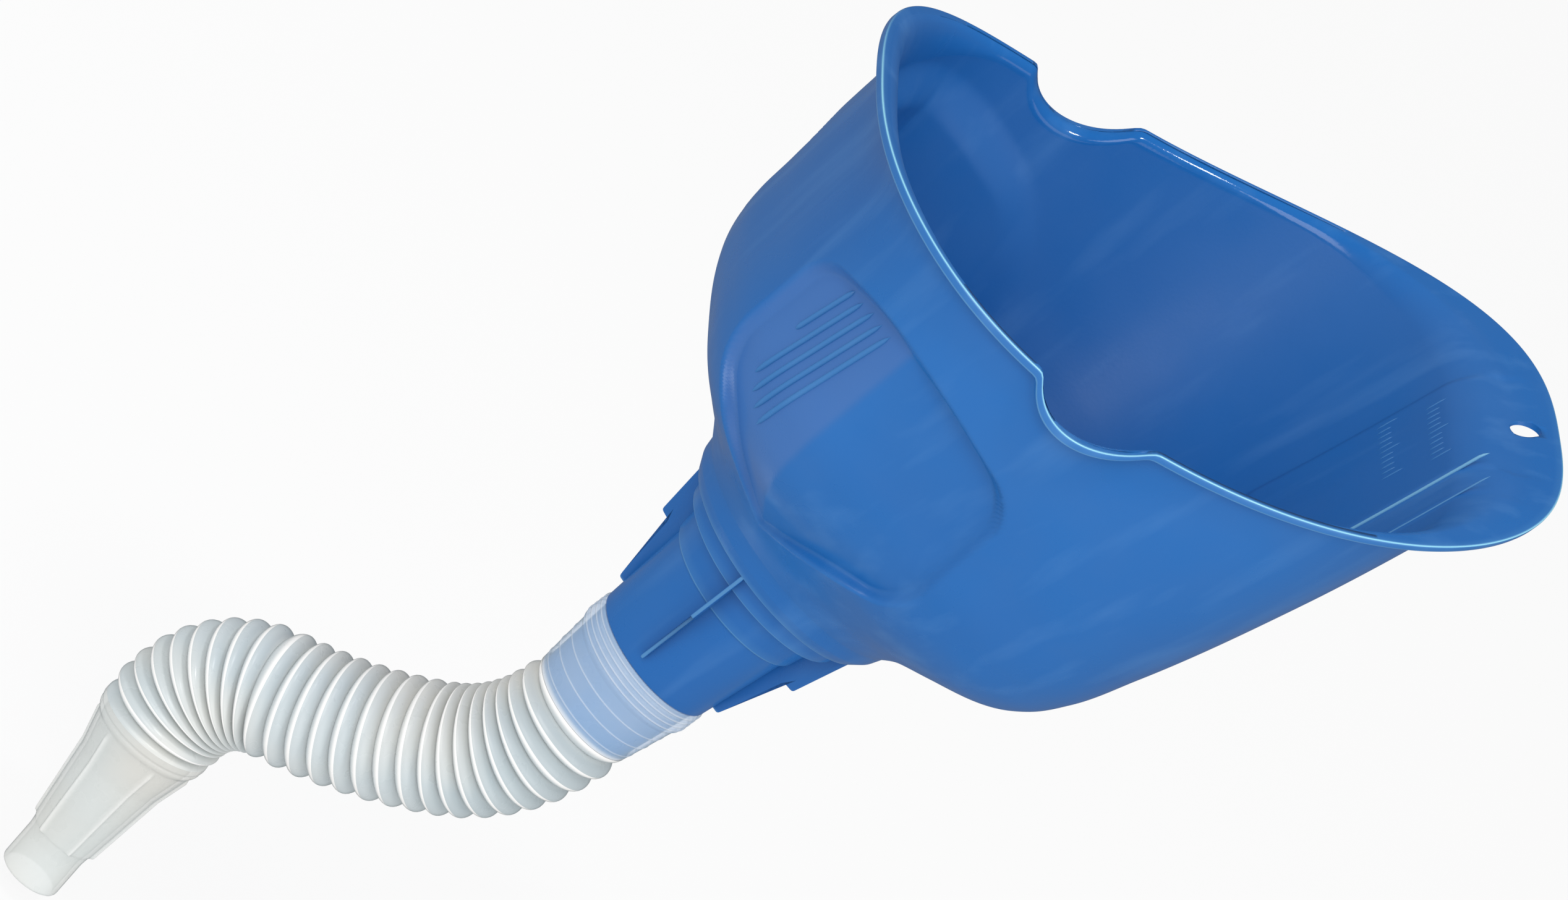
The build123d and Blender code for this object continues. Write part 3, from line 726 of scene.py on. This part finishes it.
small_parts = ("grip_rib", "neck_fin", "scale_")
blue_pieces = [funnel_shell] + [o for o in bpy.context.scene.objects if o.name.startswith(small_parts)]
for piece in blue_pieces:
    piece.data.materials.clear()
    piece.data.materials.append(blue)
for piece, material in [(cuff_skin, cuff_milk), (nozzle_skin, clear_milk)] + [(skin, milk) for skin in skins]:
    piece.data.materials.append(material)
for name, node in frame["nodes"].items():
    node.data.materials.clear()
    node.data.materials.append(blue if name == "funnel_body" else milk)

# ---- Stage: floor, light and camera ----------------------------------------------------------------
floor_material, n, l = new_material("pale_floor")
glow = n.new("ShaderNodeEmission")
glow.inputs["Color"].default_value = (1, 1, 1, 1)
glow_strength = n.new("ShaderNodeLightPath").outputs["Is Glossy Ray"]
l.new(ranged(n, l, glow_strength, 0, 1, 0.98, 0.10), glow.inputs["Strength"])
plain = n.new("ShaderNodeBsdfDiffuse")
plain.inputs["Color"].default_value = (0.9, 0.9, 0.9, 1)
blend_node = n.new("ShaderNodeMixShader")
blend_node.inputs["Fac"].default_value = 0.12
l.new(glow.outputs[0], blend_node.inputs[1])
l.new(plain.outputs[0], blend_node.inputs[2])
l.new(blend_node.outputs[0], n["Material Output"].inputs["Surface"])
bpy.ops.mesh.primitive_plane_add(size=40, location=(0, 0, cad_low.z - 0.004))
floor = bpy.context.object
floor.name = "floor"
floor.data.materials.append(floor_material)
floor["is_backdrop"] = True

world = bpy.data.worlds.new("studio")
world.use_nodes = True
n, l = world.node_tree.nodes, world.node_tree.links
n["Background"].inputs["Color"].default_value = (1.0, 1.0, 1.0, 1)
is_glossy = n.new("ShaderNodeLightPath").outputs["Is Glossy Ray"]
l.new(ranged(n, l, is_glossy, 0, 1, 0.75, 0.10), n["Background"].inputs["Strength"])
bpy.context.scene.world = world
bpy.context.scene.view_settings.view_transform = "Standard"

CAMERA_AT = Vector((-0.6644, -1.6426, 0.6778))
CAMERA_LOOK = Vector((0.3428, 0.8807, -0.3269))
CAMERA_UP = Vector((-0.6722, 0.4730, 0.5695))
LENS = 159.35
camera = bpy.data.objects.new("camera", bpy.data.cameras.new("camera"))
bpy.context.scene.collection.objects.link(camera)
right = CAMERA_LOOK.cross(CAMERA_UP).normalized()
up = right.cross(CAMERA_LOOK).normalized()
turn = Matrix((right, up, -CAMERA_LOOK.normalized())).transposed()
camera.matrix_world = Matrix.Translation(CAMERA_AT) @ turn.to_4x4()
camera.data.lens, camera.data.sensor_width, camera.data.sensor_fit = LENS, 36.0, "HORIZONTAL"
bpy.context.scene.camera = camera


def softbox(name, place, size, power):
    """Soft area light aimed at the bowl."""
    light = bpy.data.objects.new(name, bpy.data.lights.new(name, "AREA"))
    bpy.context.scene.collection.objects.link(light)
    light.data.size, light.data.energy = size, power
    light.location = place
    aim = Vector((0, 0, 0.08)) - light.location
    light.rotation_euler = aim.to_track_quat("-Z", "Y").to_euler()


softbox("key", (-1.3, -1.7, 1.2), 1.6, 22.0)
softbox("fill", (1.2, -1.6, 0.6), 1.8, 10.0)
softbox("overhead", (-0.19, -0.59, 1.60), 0.22, 6.0)

low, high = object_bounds()
{"cad": [list(cad_low), list(cad_high)], "visual": [list(low), list(high)]}
